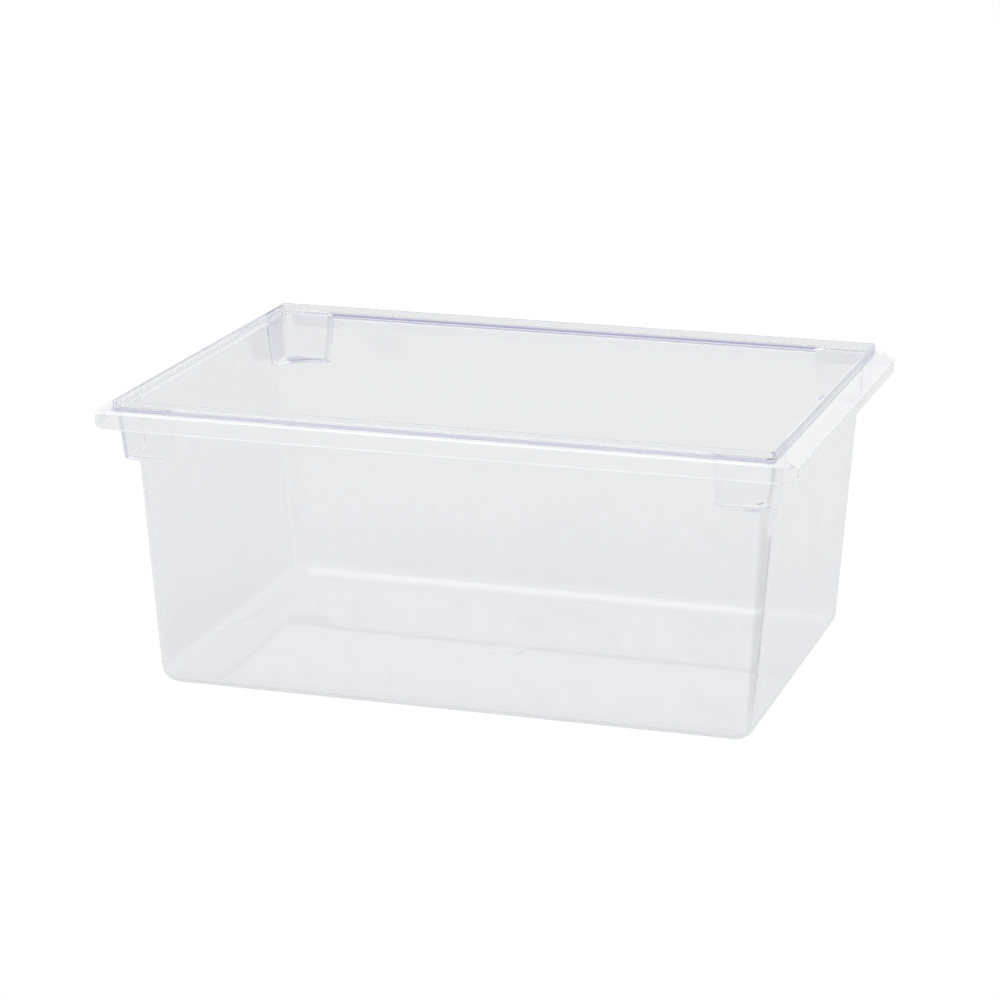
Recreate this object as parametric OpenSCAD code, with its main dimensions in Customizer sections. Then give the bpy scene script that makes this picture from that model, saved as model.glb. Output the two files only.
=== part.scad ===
// Clear food storage pan for a deli counter, full-size box pattern, open at the top.
// One moulding in clear plastic, drawn as its named regions so that each is simple and convex
// enough to collide well: floor, four walls, four corners, four stacking lugs, two side rims
// and two end handles. They meet face to face.
// Frame: origin at the middle of the underside, +X along the length, +Z up. Millimetres.

/* [Overall] */
// Length over the two end handles
length = 660.4; // [560:1:800]
// Width over the two side rims
width = 457.2; // [380:1:560]
// Height from the underside to the top of the lip
height = 281; // [220:1:340]
// Thickness of the walls, floor and rim
wall = 3.2; // [2.4:0.1:4]

/* [Body] */
// From the handle's outer edge in to the end wall, measured at the underside
end_inset = 44.4; // [36:0.2:52]
// From the rim's outer edge in to the side wall, measured at the underside
side_inset = 42.2; // [34:0.2:50]
// Outward lean of every wall, degrees from upright
draft = 4.27; // [2:0.01:5]
// Radius of the bottom edge, and of the upright corners where they meet the floor
bottom_r = 18; // [12:0.5:24]

/* [Rim] */
// Reach of each end handle beyond the lip
handle_reach = 20; // [16:0.5:26]
// Reach of each side rim beyond the lip
side_reach = 10; // [7:0.5:14]
// Height of the lip above the rim's flat top
lip_h = 6.5; // [4:0.5:9]
// Plan radius of the lip's corners
lip_r = 5; // [4:0.5:8]
// Plan radius of the rim's corners at its lower edge
rim_r = 22; // [14:1:30]
// Height of the rim from its flat top down to the skirt's lower edge
skirt_h = 19.3; // [14:0.1:24]
// Height over which the handles and side rims roll down from the flat top
roll_h = 9; // [6:0.5:10]
// Width of the bevel from the rim's flat top into the cavity
ledge_bevel = 3; // [1:0.5:4]

/* [Stacking lugs] */
// Length of each lug along the pan's length, measured at its mouth
lug_x = 56; // [40:1:70]
// Length of each lug along the pan's width, measured at its mouth
lug_y = 51; // [36:1:60]
// Drop from the rim's flat top to the lug's flat underside
lug_drop = 50; // [40:1:60]
// Plan radius inside the lug's corner
pocket_r = 10; // [6:0.5:14]
// Setback of the pocket's face from the lip's inner face
pocket_setback = 1; // [0.5:0.1:2]

/* [Gate mark] */
// Diameter of the round gate mark in the middle of the floor
gate_d = 33; // [20:1:45]
// Height of the gate mark above the floor
gate_h = 0.6; // [0.3:0.1:1]

/* [Hidden] */
$fn = 64;

CLEAR = [0.90, 0.92, 0.93, 0.55];
CLEAR_FLOOR = [0.86, 0.89, 0.93, 0.6];
CLEAR_HANDLE = [0.95, 0.96, 0.97, 0.6];

// Levels of the rim
web_top = height - lip_h;
web_under = web_top - wall;
skirt_z = web_top - skirt_h;
lug_z = web_top - lug_drop;

// Half sizes: of the rim, of the lip, and of the corner axes, which are also the floor's edges
rim_half = [length / 2, width / 2];
reach = [handle_reach, side_reach];
lip_half = rim_half - reach;
axis_half = [length / 2 - end_inset - bottom_r, width / 2 - side_inset - bottom_r];

// Section of the leaning wall, measured out from the corner axis
lean = tan(draft);
wall_run = wall / cos(draft);
bend_u = bottom_r + bottom_r * lean - bottom_r / cos(draft);
bend_steps = 12;
function outer_u(z) = bottom_r + z * lean;
function inner_u(z) = outer_u(z) - wall_run;
function bend(r) = [
    for (i = [0:bend_steps])
        let (a = -90 + (90 - draft) * i / bend_steps)
        [bend_u + r * cos(a), bottom_r + r * sin(a)]
];
function reversed(list) = [for (i = [len(list) - 1:-1:0]) list[i]];

// The corner and lug nodes take in everything past the lugs' ends
joint_gap = 5;
corner_from = [
    lip_half.x - wall - lug_x - joint_gap,
    lip_half.y - wall - lug_y - joint_gap
];

// The handles take in everything past the cavity's end walls
rim_split_x = axis_half.x + inner_u(web_under) - 1.5 * wall;

// Overlap that keeps cutting solids clear of the faces they cut
over = 1;
// Thickness of the slices that a hull is stretched over
slice = 0.01;

// A flat rounded rectangle, from half sizes and a corner radius
module plate(half, r, z, h = slice) {
    translate([0, 0, z])
        linear_extrude(h)
            hull()
                for (sx = [-1, 1], sy = [-1, 1])
                    translate([sx * (half.x - r), sy * (half.y - r)])
                        circle(r, $fn = 32);
}

// The wall's section from the floor's edge up to the rim
module wall_section() {
    polygon(concat(
        [[0, 0]],
        bend(bottom_r),
        [[outer_u(web_under), web_under], [inner_u(web_under), web_under]],
        reversed(bend(bottom_r - wall)),
        [[0, wall]]
    ));
}

// A length of straight wall facing +X, centred on the X axis
module straight_wall(len) {
    rotate([90, 0, 0])
        linear_extrude(len, center = true)
            wall_section();
}

// Convex envelope of the rim: a flat top that rolls down to an upright skirt.
// inset shrinks it evenly to give the inside of the rim.
roll_steps = 6;
// The roll starts at the lip, or past the walls' outer faces where these lie further out
wall_face = axis_half + [1, 1] * outer_u(web_under);
roll_from = [
    max(lip_half.x, wall_face.x + wall),
    max(lip_half.y, wall_face.y + wall)
];
module rim_envelope(inset) {
    top = web_top - inset;
    hull() {
        for (i = [0:roll_steps]) {
            a = 90 * i / roll_steps;
            half = roll_from + (rim_half - roll_from) * sin(a) - [inset, inset];
            plate(half, lip_r + (rim_r - lip_r) * sin(a) - inset * i / roll_steps,
                  top - roll_h * (1 - cos(a)) - slice);
        }
        plate(rim_half - [inset, inset], rim_r - inset, skirt_z - (inset > 0 ? over : 0));
    }
}

// Mouth of the cavity through the rim, with its bevelled edge
module cavity_mouth() {
    half = axis_half + [1, 1] * inner_u(web_under);
    r = inner_u(web_under);
    hull() {
        plate(half, r, web_under - over);
        plate(half, r, web_under);
        plate(half + [1, 1] * ledge_bevel, r + ledge_bevel, web_top);
        plate(half + [1, 1] * ledge_bevel, r + ledge_bevel, web_top + over);
    }
}

// Tapered block at the +X +Y corner: the pocket itself, or with grow > 0 the lug around it
module corner_block(grow, z_low, z_high) {
    mouth = lip_half - [1, 1] * (wall + pocket_setback);
    hull()
        for (z = [z_low, z_high - slice]) {
            shrink = (web_top - z) * lean;
            far = mouth + [1, 1] * (grow - shrink);
            near = mouth - [lug_x, lug_y] + [1, 1] * (shrink - grow);
            r = pocket_r + grow;
            translate([far.x - r, far.y - r, z])
                cylinder(slice, r = r, $fn = 32);
            translate([near.x, far.y - 2 * r, z])
                cube([r, 2 * r, slice]);
            translate([far.x - 2 * r, near.y, z])
                cube([2 * r, r, slice]);
            translate([near.x, near.y, z])
                cube([r, r, slice]);
        }
}

module pocket() {
    corner_block(0, lug_z + wall, web_top + over);
}

// The wall at the +X +Y corner: a quarter turn of the wall section, and short straight runs
// up to the ends of the straight walls
module corner_wall() {
    run = axis_half - corner_from;
    translate([axis_half.x, axis_half.y, 0])
        rotate_extrude(angle = 90)
            wall_section();
    translate([axis_half.x, corner_from.y + run.y / 2, 0])
        straight_wall(run.y);
    translate([corner_from.x + run.x / 2, axis_half.y, 0])
        rotate([0, 0, 90])
            straight_wall(run.x);
}

// The corner's own share of the pan between two heights
module corner_share(z_low, z_high) {
    translate([corner_from.x, corner_from.y, z_low])
        cube([length, width, z_high - z_low]);
}

// The +X +Y corner, from the floor up to the lug
module corner() {
    intersection() {
        corner_wall();
        corner_share(-over, lug_z);
    }
}

// The +X +Y stacking lug with its pocket, from its flat underside up to the rim
module lug() {
    difference() {
        intersection() {
            union() {
                corner_wall();
                difference() {
                    corner_block(wall, lug_z, web_under);
                    inside_of_walls();
                }
            }
            corner_share(lug_z, web_under);
        }
        pocket();
    }
}

// Everything on the cavity's side of the walls' inner faces at the +X +Y corner
module inside_of_walls() {
    low = lug_z - over;
    edge = [[inner_u(low), low], [inner_u(height), height]];
    translate([axis_half.x, axis_half.y, 0]) {
        rotate_extrude(angle = 90)
            polygon(concat([[0, height], [0, low]], edge));
        for (swap = [0, 1])
            mirror([swap, -swap, 0])
                rotate([90, 0, 0])
                    linear_extrude(length)
                        polygon(concat([[-length, height], [-length, low]], edge));
    }
}

// The whole rim ring: web, rolled edges and skirt, and the upright lip
module rim_ring() {
    difference() {
        union() {
            rim_envelope(0);
            plate(lip_half, lip_r, web_under, height - web_under);
        }
        rim_envelope(wall);
        plate(lip_half - [wall, wall], lip_r - wall, web_top, lip_h + over);
        cavity_mouth();
        for (mx = [0, 1], my = [0, 1])
            mirror([mx, 0, 0])
                mirror([0, my, 0])
                    pocket();
    }
}

// One side rim, between the handles, on the +Y side
module side_rim() {
    intersection() {
        rim_ring();
        translate([-rim_split_x, 0, 0])
            cube([2 * rim_split_x, width, height + over]);
    }
}

// One end handle with the rim's corners, at the +X end
module handle() {
    intersection() {
        rim_ring();
        translate([rim_split_x, -width, 0])
            cube([length, 2 * width, height + over]);
    }
}

module floor() {
    color(CLEAR_FLOOR) {
        translate([-axis_half.x, -axis_half.y, 0])
            cube([2 * axis_half.x, 2 * axis_half.y, wall]);
        cylinder(wall + gate_h, d = gate_d);
    }
}

module right_wall() {
    color(CLEAR)
        translate([axis_half.x, 0, 0])
            straight_wall(2 * corner_from.y);
}

module left_wall() {
    color(CLEAR)
        mirror([1, 0, 0])
            right_wall();
}

module back_wall() {
    color(CLEAR)
        translate([0, axis_half.y, 0])
            rotate([0, 0, 90])
                straight_wall(2 * corner_from.x);
}

module front_wall() {
    color(CLEAR)
        mirror([0, 1, 0])
            back_wall();
}

module back_right_corner() {
    color(CLEAR)
        corner();
}

module back_left_corner() {
    color(CLEAR)
        mirror([1, 0, 0])
            corner();
}

module front_right_corner() {
    color(CLEAR)
        mirror([0, 1, 0])
            corner();
}

module front_left_corner() {
    color(CLEAR)
        mirror([1, 0, 0])
            mirror([0, 1, 0])
                corner();
}

module back_right_lug() {
    color(CLEAR)
        lug();
}

module back_left_lug() {
    color(CLEAR)
        mirror([1, 0, 0])
            lug();
}

module front_right_lug() {
    color(CLEAR)
        mirror([0, 1, 0])
            lug();
}

module front_left_lug() {
    color(CLEAR)
        mirror([1, 0, 0])
            mirror([0, 1, 0])
                lug();
}

module back_rim() {
    color(CLEAR_HANDLE)
        side_rim();
}

module front_rim() {
    color(CLEAR_HANDLE)
        mirror([0, 1, 0])
            side_rim();
}

module right_handle() {
    color(CLEAR_HANDLE)
        handle();
}

module left_handle() {
    color(CLEAR_HANDLE)
        mirror([1, 0, 0])
            handle();
}

floor();
front_wall();
back_wall();
left_wall();
right_wall();
front_left_corner();
front_right_corner();
back_left_corner();
back_right_corner();
front_left_lug();
front_right_lug();
back_left_lug();
back_right_lug();
front_rim();
back_rim();
left_handle();
right_handle();
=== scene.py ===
"""A clear deli food pan: one injection moulding in polycarbonate, empty and open on top."""

import math

import bmesh
import bpy
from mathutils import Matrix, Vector


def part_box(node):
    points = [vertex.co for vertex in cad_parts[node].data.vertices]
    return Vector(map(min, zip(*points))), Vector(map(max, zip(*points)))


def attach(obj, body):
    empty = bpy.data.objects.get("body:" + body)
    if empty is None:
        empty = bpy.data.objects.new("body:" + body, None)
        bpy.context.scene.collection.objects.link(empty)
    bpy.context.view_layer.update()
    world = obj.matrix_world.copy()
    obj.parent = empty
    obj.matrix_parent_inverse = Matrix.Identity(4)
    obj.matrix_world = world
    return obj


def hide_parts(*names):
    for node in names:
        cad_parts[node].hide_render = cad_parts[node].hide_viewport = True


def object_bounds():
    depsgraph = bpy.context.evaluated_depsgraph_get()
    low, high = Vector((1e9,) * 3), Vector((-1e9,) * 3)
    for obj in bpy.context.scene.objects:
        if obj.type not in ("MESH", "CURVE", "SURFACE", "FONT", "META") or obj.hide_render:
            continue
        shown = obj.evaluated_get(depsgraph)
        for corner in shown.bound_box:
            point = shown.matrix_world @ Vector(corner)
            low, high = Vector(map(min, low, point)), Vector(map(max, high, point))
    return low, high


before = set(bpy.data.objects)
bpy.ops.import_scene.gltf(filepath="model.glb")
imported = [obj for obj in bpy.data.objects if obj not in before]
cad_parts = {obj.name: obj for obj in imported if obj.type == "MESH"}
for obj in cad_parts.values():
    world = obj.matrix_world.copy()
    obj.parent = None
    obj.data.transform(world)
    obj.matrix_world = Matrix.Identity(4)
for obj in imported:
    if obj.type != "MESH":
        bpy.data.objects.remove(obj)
cad_low, cad_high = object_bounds()

# ---------------------------------------------------------------------------------------------
# The moulding
# One shot of clear polycarbonate, 3.2 mm thick all over: a flat floor, leaning walls with
# cone-shaped corners, a lug at each corner, and a rim that rolls over into two end handles.
# It is drawn the way its section runs: one face is extruded again and again, from the middle
# of the underside, out and up round the rim, and down inside to the middle of the floor.
# ---------------------------------------------------------------------------------------------
MM = 0.001
floor_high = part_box("floor")[1]
web_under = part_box("right_wall")[1].z
half = Vector((cad_high.x, cad_high.y))
axis = Vector((floor_high.x, floor_high.y))
top = cad_high.z

wall = 3.2 * MM
lip_height = 6.5 * MM
draft = math.radians(4.27)
bend = 18 * MM
lean = math.tan(draft)
web_top = top - lip_height
skirt_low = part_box("right_handle")[0].z
lug_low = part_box("back_right_lug")[0].z
reach = Vector((20 * MM, 10 * MM))
drop = Vector((9 * MM, 5.5 * MM))
lip_half = half - reach
lip_r = 5 * MM
rim_r = 22 * MM
pocket_r = 10 * MM
pocket_set = 1 * MM
lug_length = Vector((56 * MM, 51 * MM))
lug_trim = 4.5 * MM
pocket_trim = 5 * MM
gate_r = 16.5 * MM

# Points round a corner, and along the blend between a lug's side and the wall. The blend's
# length on the end and on the long wall, and how soft it starts and stops, differ by lug.
ARC = 32
STEP = (0, 0.08, 0.2, 0.35, 0.5, 0.65, 0.8, 0.92, 1)
CRISP = ((1.6 * MM, 12 * MM), 0.2)
SOFT = ((3 * MM, 15 * MM), 0.45)


def ramp(t, soft):
    """From 0 to 1 in a straight line whose two ends are rounded over a share of its length."""
    if t > 0.5:
        return 1 - ramp(1 - t, soft)
    return t * t / (2 * soft * (1 - soft)) if t < soft else (t - soft / 2) / (1 - soft)


def quarter(size, r, heights, lug, share, blend):
    """A quarter of a loop, from the middle of the end to the middle of the side."""
    run, soft = blend
    far, lug_r, near = lug if lug else (size, r, axis - lug_length * 0.3)
    out = (far - size) * share if lug else Vector((0, 0))
    points = [(size.x, 0, 0)]
    points += [(size.x + out.x * ramp(t, soft), near.y + run[0] * (t - 0.5), 0) for t in STEP]
    for i in range(ARC + 1):
        a = math.radians(90) * i / ARC
        turn = Vector((math.cos(a) - 1, math.sin(a) - 1))
        place = (size + r * turn).lerp(far + lug_r * turn, share if lug else 0)
        points.append((place.x, place.y, math.sin(a) ** 2))
    points += [(near.x + run[1] * (t - 0.5), size.y + out.y * ramp(t, soft), 1)
               for t in reversed(STEP)]
    points.append((0, size.y, 1))
    return [Vector((x, y, heights[0] + (heights[1] - heights[0]) * t)) for x, y, t in points]


def loop(size, r, z_end, z_side=None, lug=None, share=1.0):
    """One trip round the pan: a rounded rectangle whose ends and sides may lie at two heights,
    pushed out at the corners by a share of the lug. The back lugs have crisper sides."""
    heights = (z_end, z_end if z_side is None else z_side)
    right = quarter(size, r, heights, lug, share, CRISP)
    back = right + [Vector((-p.x, p.y, p.z)) for p in reversed(right[:-1])]
    right = quarter(size, r, heights, lug, share, SOFT)
    front = right + [Vector((-p.x, p.y, p.z)) for p in reversed(right[:-1])]
    return back + [Vector((p.x, -p.y, p.z)) for p in reversed(front[1:-1])]


def wall_loop(z, outside, grow=0.0):
    """The leaning wall at a height, on its outer or inner face, grown by a fillet."""
    r = bend + z * lean - (0 if outside else wall / math.cos(draft)) + grow
    return axis + Vector((r, r)), r


def lug_at(z, outside, grow=0.0):
    """The lug's outer face, or its pocket's face, at a height: far corner, radius, near edge."""
    mouth = lip_half - Vector((1, 1)) * (wall + pocket_set)
    out = (wall if outside else 0) + grow
    shrink = (web_top - z) * lean
    far = mouth + Vector((1, 1)) * (out - shrink)
    near = mouth - lug_length + Vector((0, 1)) * (shrink - out)
    near.x += (lug_trim if outside else pocket_trim) + shrink
    return far, pocket_r + out, near


def disc(r, z):
    """A round loop with the same number of points, for the gate mark."""
    edge = axis + Vector((bend, bend))
    flat = loop(edge, bend, z)
    return [Vector((*(Vector((p.x / edge.x, p.y / edge.y)).normalized() * r), z)) for p in flat]


def roll(a, inset):
    """The rolled edge's section at an angle from its top: an upright ellipse, or its inside."""
    sizes, heights = [], []
    for n in (0, 1):
        normal = Vector((math.sin(a) / reach[n], math.cos(a) / drop[n])).normalized() * inset
        sizes.append(lip_half[n] + reach[n] * math.sin(a) - normal.x)
        heights.append(web_top - drop[n] * (1 - math.cos(a)) - normal.y)
    return Vector(sizes), heights


def arc(low, high, steps):
    """Angles from low to high degrees, in even steps."""
    return [math.radians(low + (high - low) * i / steps) for i in range(steps + 1)]


loops = []

# Underside: a shallow round gate recess, then flat out to the bend and round it.
loops += [disc(gate_r - 1.2 * MM, 0.4 * MM), disc(gate_r - 0.4 * MM, 0.3 * MM),
          disc(gate_r, 0), disc(gate_r + 3 * MM, 0)]
bend_at = bend + bend * lean - bend / math.cos(draft)
for a in arc(-90, -math.degrees(draft), 12):
    r = bend_at + bend * math.cos(a)
    loops.append(loop(axis + Vector((r, r)), r, bend + bend * math.sin(a)))

# Outer face of the wall, then the lug's flat underside, its rounded edge and its face.
for z in (60 * MM, 110 * MM, 165 * MM):
    size, r = wall_loop(z, True)
    loops.append(loop(size, r, z, lug=lug_at(lug_low, True), share=0))
heel = 0.8 * MM
for a in arc(0, 90, 3):
    z = lug_low - heel * (1 - math.sin(a))
    size, r = wall_loop(z, True)
    loops.append(loop(size, r, z, lug=lug_at(lug_low, True), share=0.08 * (1 - math.cos(a))))
lug_edge = 1.5 * MM
for a in arc(0, 90, 4):
    z = lug_low + lug_edge * (1 - math.cos(a))
    size, r = wall_loop(z, True)
    loops.append(loop(size, r, z, lug=lug_at(z, True), share=0.86 + 0.14 * math.sin(a)))
for z in (lug_low + 12 * MM, lug_low + 30 * MM):
    size, r = wall_loop(z, True)
    loops.append(loop(size, r, z, lug=lug_at(z, True)))

# Root fillet under the rim, the rim's underside, and down the inside of the rolled edge.
root = 2 * MM
for a in arc(0, 90, 4):
    z = web_under - root * (1 - math.sin(a))
    grow = root * (1 - math.cos(a))
    size, r = wall_loop(z, True, grow)
    loops.append(loop(size, r, z, lug=lug_at(z, True, grow)))
for a in arc(15, 90, 7):
    size, heights = roll(a, wall)
    loops.append(loop(size, rim_r - wall - 3 * MM * (1 - math.sin(a)), *heights))

# The skirt's lower edge, fully rounded, then the outside of the rolled edge up to the lip.
tip = wall / 2
for a in arc(180, 360, 8):
    size = half - Vector((1, 1)) * (tip - tip * math.cos(a))
    loops.append(loop(size, rim_r - tip + tip * math.cos(a), skirt_low + tip + tip * math.sin(a)))
for a in arc(90, 6, 12):
    size, heights = roll(a, 0)
    loops.append(loop(size, lip_r + (rim_r - lip_r) * math.sin(a), *heights))

# The lip: a small fillet at its foot, an upright face, a rounded top and its inner face.
foot = 0.8 * MM
for a in arc(0, 90, 3):
    grow = foot * (1 - math.sin(a))
    loops.append(loop(lip_half + Vector((grow, grow)), lip_r + grow,
                      web_top + foot * (1 - math.cos(a))))
crown = 1.2 * MM
for a in arc(0, 90, 4):
    grow = -crown * (1 - math.cos(a))
    loops.append(loop(lip_half + Vector((grow, grow)), lip_r + grow,
                      top - crown * (1 - math.sin(a))))
lip_in = lip_half - Vector((wall, wall))
lip_in_r = lip_r - wall + 0.6 * MM
for a in arc(90, 0, 4):
    grow = crown * (1 - math.cos(a))
    loops.append(loop(lip_in + Vector((grow, grow)), lip_in_r + grow,
                      top - crown * (1 - math.sin(a))))
loops.append(loop(lip_in, lip_in_r, web_top + 0.6 * MM))

# The ledge inside the lip rounds over into the wall; at the corners the pocket drops past it.
ledge_r = 3.2 * MM
for a in arc(0, 86, 6):
    z = web_top - ledge_r * (1 - math.cos(a))
    size, r = wall_loop(web_top - ledge_r, False, ledge_r * (1 - math.sin(a)))
    loops.append(loop(size, r, z, lug=lug_at(z, False)))
pocket_low = lug_low + wall
pocket_edge = 0.8 * MM
pocket_brow = 1.5 * MM
for z in (255 * MM, 242 * MM, pocket_low + 4 * MM):
    size, r = wall_loop(z, False)
    loops.append(loop(size, r, z, lug=lug_at(z, False)))
for a in arc(0, 90, 4):
    z = pocket_low + pocket_edge * (1 - math.sin(a))
    size, r = wall_loop(z, False)
    loops.append(loop(size, r, z, lug=lug_at(z, False), share=1 - 0.08 * (1 - math.cos(a))))
for a in arc(90, 0, 5):
    z = pocket_low - pocket_brow * (1 - math.sin(a))
    size, r = wall_loop(z, False)
    loops.append(loop(size, r, z, lug=lug_at(pocket_low, False), share=0.14 * (1 - math.cos(a))))

# Inner face of the wall, the bend into the floor, and the gate mark's low dome.
for z in (165 * MM, 110 * MM, 60 * MM):
    size, r = wall_loop(z, False)
    loops.append(loop(size, r, z))
for a in arc(-math.degrees(draft), -90, 12):
    r = bend_at + (bend - wall) * math.cos(a)
    loops.append(loop(axis + Vector((r, r)), r, bend + (bend - wall) * math.sin(a)))
loops += [disc(gate_r + 3 * MM, wall), disc(gate_r + 0.5 * MM, wall),
          disc(gate_r, wall + 0.3 * MM), disc(gate_r - 0.8 * MM, wall + 0.4 * MM),
          disc(gate_r * 0.6, wall + 0.5 * MM), disc(gate_r * 0.3, wall + 0.6 * MM)]

bpy.ops.object.select_all(action="DESELECT")
bpy.ops.mesh.primitive_circle_add(vertices=len(loops[0]), radius=gate_r, fill_type="NGON")
pan = bpy.context.object
pan.name = "pan"
bpy.ops.object.mode_set(mode="EDIT")
bpy.ops.mesh.select_all(action="SELECT")
mesh = bmesh.from_edit_mesh(pan.data)
ring = list(mesh.faces[:][0].verts)
for point, place in zip(ring, loops[0]):
    point.co = place
for places in loops[1:]:
    at = {point.co.to_tuple(7): i for i, point in enumerate(ring)}
    bmesh.update_edit_mesh(pan.data)
    bpy.ops.mesh.extrude_region_move()
    mesh = bmesh.from_edit_mesh(pan.data)
    ring = sorted((v for v in mesh.verts if v.select), key=lambda v: at[v.co.to_tuple(7)])
    for point, place in zip(ring, places):
        point.co = place
bmesh.update_edit_mesh(pan.data)
bpy.ops.mesh.select_all(action="SELECT")
bpy.ops.mesh.normals_make_consistent(inside=False)
bpy.ops.object.mode_set(mode="OBJECT")
bpy.ops.object.shade_smooth_by_angle(angle=math.radians(32))
even = pan.modifiers.new("even", "WEIGHTED_NORMAL")
even.keep_sharp = True
bpy.ops.object.modifier_apply(modifier=even.name)


def linear(hex_colour):
    """An sRGB hex colour as linear RGBA."""
    parts = [int(hex_colour[i:i + 2], 16) / 255 for i in (1, 3, 5)]
    return (*(c / 12.92 if c <= 0.04045 else ((c + 0.055) / 1.055) ** 2.4 for c in parts), 1.0)


def node(tree, kind, settings=None, links=None):
    """Adds a node, sets its values and links its inputs."""
    new = tree.nodes.new(kind)
    for name, value in (settings or {}).items():
        if isinstance(name, int) or name in new.inputs:
            new.inputs[name].default_value = value
        else:
            setattr(new, name, value)
    for name, source in (links or {}).items():
        tree.links.new(source, new.inputs[name])
    return new


# Clear injection-moulded polycarbonate: bright, smooth and a little cool, index 1.585. Lamps
# and daylight pass through it unbent. The resin itself is faintly violet, which shows where
# light runs along inside a wall or a lip.
clear = bpy.data.materials.new("clear_polycarbonate")
clear.use_nodes = True
tree = clear.node_tree
tree.nodes.clear()
coords = node(tree, "ShaderNodeTexCoord").outputs["Object"]
# Washing leaves a soft bloom in patches about 60 mm across, and rubbing leaves fine 1 mm scuffs.
bloom = node(tree, "ShaderNodeTexNoise", {"Scale": 16, "Detail": 3}, {"Vector": coords})
rubs = node(tree, "ShaderNodeTexNoise", {"Scale": 900, "Detail": 2}, {"Vector": coords})
spot = node(tree, "ShaderNodeSeparateXYZ", {}, {"Vector": coords})
# How far outside the walls, and outside the lip, a point lies: 0 within, 1 past it.
past = {}
for name, edge in (("wall", wall_loop(web_under, True)[0]), ("lip", lip_half)):
    sides = []
    for n in (0, 1):
        size = node(tree, "ShaderNodeMath", {"operation": "ABSOLUTE"}, {0: spot.outputs[n]})
        sides.append(node(tree, "ShaderNodeMath", {"operation": "SUBTRACT", 1: edge[n]},
                          {0: size.outputs[0]}))
    outer = node(tree, "ShaderNodeMath", {"operation": "MAXIMUM"},
                 {0: sides[0].outputs[0], 1: sides[1].outputs[0]})
    past[name] = node(tree, "ShaderNodeMapRange", {"From Min": 0.5 * MM, "From Max": 1.5 * MM},
                      {"Value": outer.outputs[0]})
haze = node(tree, "ShaderNodeMapRange", {
    "From Min": 0.3, "From Max": 0.7, "To Min": 0.975, "To Max": 0.95},
    {"Value": bloom.outputs["Fac"]})
# The rolled edges scatter a little more light than the walls, so they look whiter.
let_through = node(tree, "ShaderNodeMath", {"operation": "MULTIPLY_ADD", 1: -0.06},
                   {0: past["lip"].outputs[0], 2: haze.outputs[0]})
satin = node(tree, "ShaderNodeMapRange", {
    "From Min": 0.3, "From Max": 0.75, "To Min": 0.02, "To Max": 0.06},
    {"Value": rubs.outputs["Fac"]})
# Melt that cools against the steel leaves the skin a hundredth of a millimetre out of flat.
flow = node(tree, "ShaderNodeTexNoise", {"Scale": 25, "Detail": 1}, {"Vector": coords})
skin = node(tree, "ShaderNodeBump", {"Strength": 0.3, "Distance": 0.01 * MM},
            {"Height": flow.outputs["Fac"]})
plastic = node(tree, "ShaderNodeBsdfPrincipled", {
    "Base Color": linear("#fefefe"), "IOR": 1.585},
    {"Transmission Weight": let_through.outputs[0], "Roughness": satin.outputs[0],
     "Normal": skin.outputs[0]})
passing = node(tree, "ShaderNodeBsdfTransparent", {"Color": linear("#ffffff")})
rays = node(tree, "ShaderNodeLightPath")
lamps = node(tree, "ShaderNodeMixShader", {}, {0: rays.outputs["Is Shadow Ray"],
                                              1: plastic.outputs[0], 2: passing.outputs[0]})
glow = node(tree, "ShaderNodeMixShader", {}, {0: rays.outputs["Is Diffuse Ray"],
                                             1: lamps.outputs[0], 2: passing.outputs[0]})
# Light that has been reflected leaves the plastic straight, which keeps trapped light from
# drawing black bands. At the lip and the lugs that light is darkened violet, a painted shade
# for the dark marks that trapped light leaves there; elsewhere it is hardly darkened at all.
lip_and_lugs = node(tree, "ShaderNodeMath", {"operation": "SUBTRACT"},
                    {0: past["wall"].outputs[0], 1: past["lip"].outputs[0]})
painted_violet_shade = node(tree, "ShaderNodeValToRGB", {}, {"Fac": lip_and_lugs.outputs[0]})
painted_violet_shade.color_ramp.elements[0].color = linear("#fcfcfd")
painted_violet_shade.color_ramp.elements[1].color = linear("#dcdce9")
painted_shade_passing = node(tree, "ShaderNodeBsdfTransparent", {}, {"Color": painted_violet_shade.outputs["Color"]})
inside = node(tree, "ShaderNodeMixShader", {}, {0: rays.outputs["Is Reflection Ray"],
                                               1: glow.outputs[0], 2: painted_shade_passing.outputs[0]})
resin = node(tree, "ShaderNodeVolumeAbsorption", {"Color": linear("#c4c4dc"), "Density": 5})
node(tree, "ShaderNodeOutputMaterial", {},
     {"Surface": inside.outputs[0], "Volume": resin.outputs[0]})
pan.data.materials.append(clear)
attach(pan, "root")
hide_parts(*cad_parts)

# ---------------------------------------------------------------------------------------------
# The ground, the light and the camera
# ---------------------------------------------------------------------------------------------
bpy.ops.object.select_all(action="DESELECT")
bpy.ops.mesh.primitive_plane_add(size=60, location=(0, 0, -0.5 * MM))
ground = bpy.context.object
ground.name = "ground"
paper = bpy.data.materials.new("white_paper")
paper.use_nodes = True
tree = paper.node_tree
tree.nodes.clear()
grey = node(tree, "ShaderNodeBsdfDiffuse", {"Color": linear("#e0e0e0")})
white = node(tree, "ShaderNodeEmission", {"Color": linear("#ffffff"), "Strength": 1.0})
seen = node(tree, "ShaderNodeLightPath")
mixed = node(tree, "ShaderNodeMixShader", {}, {0: seen.outputs["Is Camera Ray"],
                                              1: grey.outputs[0], 2: white.outputs[0]})
node(tree, "ShaderNodeOutputMaterial", {}, {"Surface": mixed.outputs[0]})
ground.data.materials.append(paper)
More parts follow.
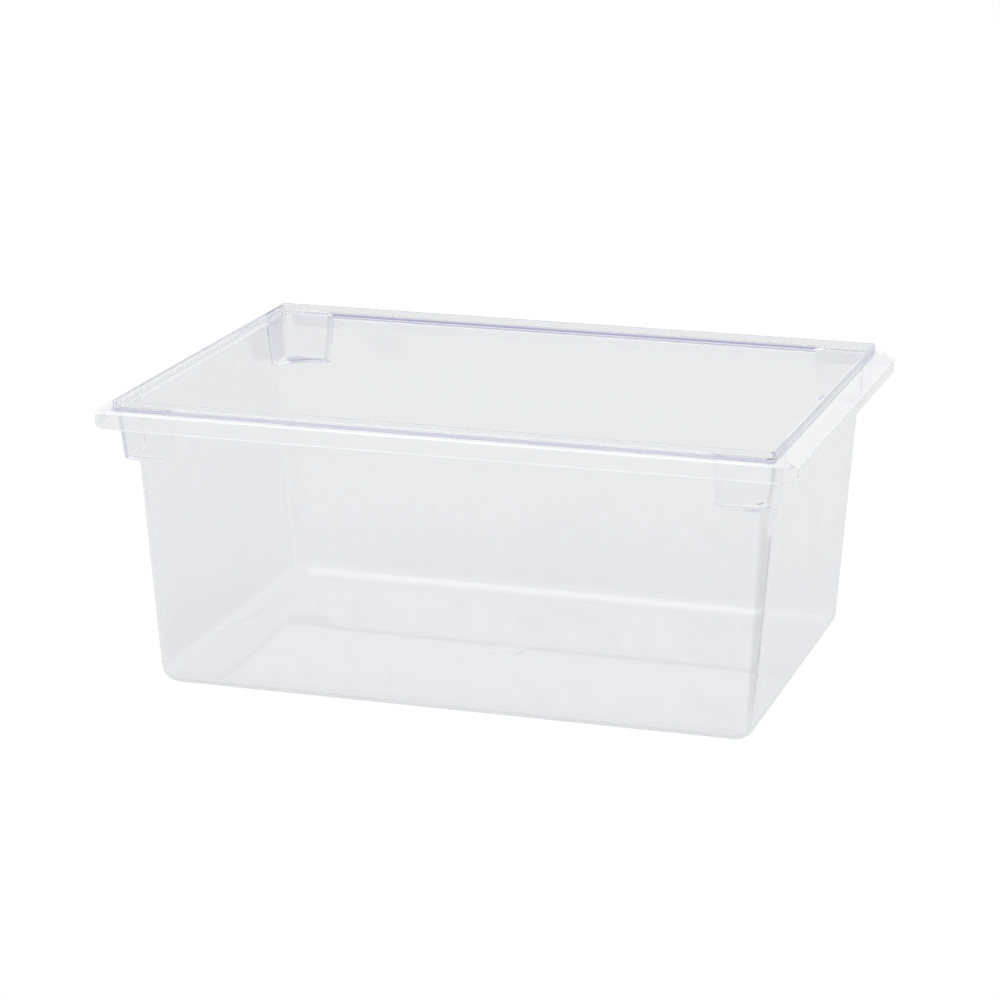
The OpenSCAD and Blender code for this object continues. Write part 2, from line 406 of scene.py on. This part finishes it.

# A dark sheet lies on the ground at the right, where only reflections see it: painted shade,
# standing in for the ground lying darker there. It darkens the front right corner. It is a
# triangle, drawn from near that corner out between two bearings.
shade_sheet_length = 0.74
shade_sheet_bearings = (76, 118)
bpy.ops.mesh.primitive_circle_add(vertices=3, radius=1, fill_type="NGON")
shade_sheet = bpy.context.object
shade_sheet.name = "shade_sheet"
corner = Vector((half.x - 20 * MM, -half.y + 40 * MM, 1 * MM))
shade_sheet.data.vertices[0].co = corner
for point, bearing in zip(shade_sheet.data.vertices[1:], shade_sheet_bearings):
    a = math.radians(bearing)
    point.co = corner + Vector((math.sin(a), -math.cos(a), 0)) * shade_sheet_length
shade_sheet.data.update()
shade_sheet.visible_camera = shade_sheet.visible_diffuse = shade_sheet.visible_transmission = False
shade_sheet.visible_shadow = shade_sheet.visible_volume_scatter = False
black = bpy.data.materials.new("painted_shade_sheet")
black.use_nodes = True
black.node_tree.nodes["Principled BSDF"].inputs["Base Color"].default_value = linear("#202020")
black.node_tree.nodes["Principled BSDF"].inputs["Roughness"].default_value = 1.0
shade_sheet.data.materials.append(black)

world = bpy.data.worlds.new("studio")
bpy.context.scene.world = world
world.use_nodes = True
tree = world.node_tree
direction = node(tree, "ShaderNodeTexCoord")
height = node(tree, "ShaderNodeSeparateXYZ", {}, {0: direction.outputs["Generated"]})
sky = node(tree, "ShaderNodeValToRGB", {}, {0: height.outputs["Z"]})
stops = sky.color_ramp.elements
for place, level in ((0.0, 1.1), (0.3, 1.15), (0.55, 0.95), (0.85, 0.85), (1.0, 0.85)):
    stop = stops[0] if place == 0 else stops[1] if place == 1 else stops.new(place)
    stop.position = place
    stop.color = (level, level, level, 1)
backdrop = node(tree, "ShaderNodeBackground", {"Color": (1, 1, 1, 1), "Strength": 0.84})
room = tree.nodes["Background"]
tree.links.new(sky.outputs[0], room.inputs["Color"])
through = node(tree, "ShaderNodeLightPath")
either = node(tree, "ShaderNodeMixShader", {}, {0: through.outputs["Is Transmission Ray"],
                                               1: room.outputs[0], 2: backdrop.outputs[0]})
tree.links.new(either.outputs[0], tree.nodes["World Output"].inputs["Surface"])

key_data = bpy.data.lights.new("key", "SUN")
key_data.energy = 0.7
key_data.angle = math.radians(50)
key = bpy.data.objects.new("key", key_data)
bpy.context.scene.collection.objects.link(key)
key.rotation_euler = (math.radians(25), math.radians(-20), 0)

bpy.context.scene.view_settings.view_transform = "Standard"
for limit in ("max_bounces", "transmission_bounces", "transparent_max_bounces", "glossy_bounces"):
    setattr(bpy.context.scene.cycles, limit, 24)

azimuth, elevation = math.radians(17.5), math.radians(15.65)
aim = Vector((-0.0126, 0.0183, 0.1483))
distance = 3.265
back = Vector((math.sin(azimuth) * math.cos(elevation), -math.cos(azimuth) * math.cos(elevation),
               math.sin(elevation)))
camera_data = bpy.data.cameras.new("camera")
camera_data.lens = 122.2
camera_data.sensor_width = 36
camera = bpy.data.objects.new("camera", camera_data)
bpy.context.scene.collection.objects.link(camera)
camera.location = aim + back * distance
camera.rotation_euler = back.to_track_quat("Z", "Y").to_euler()
bpy.context.scene.camera = camera
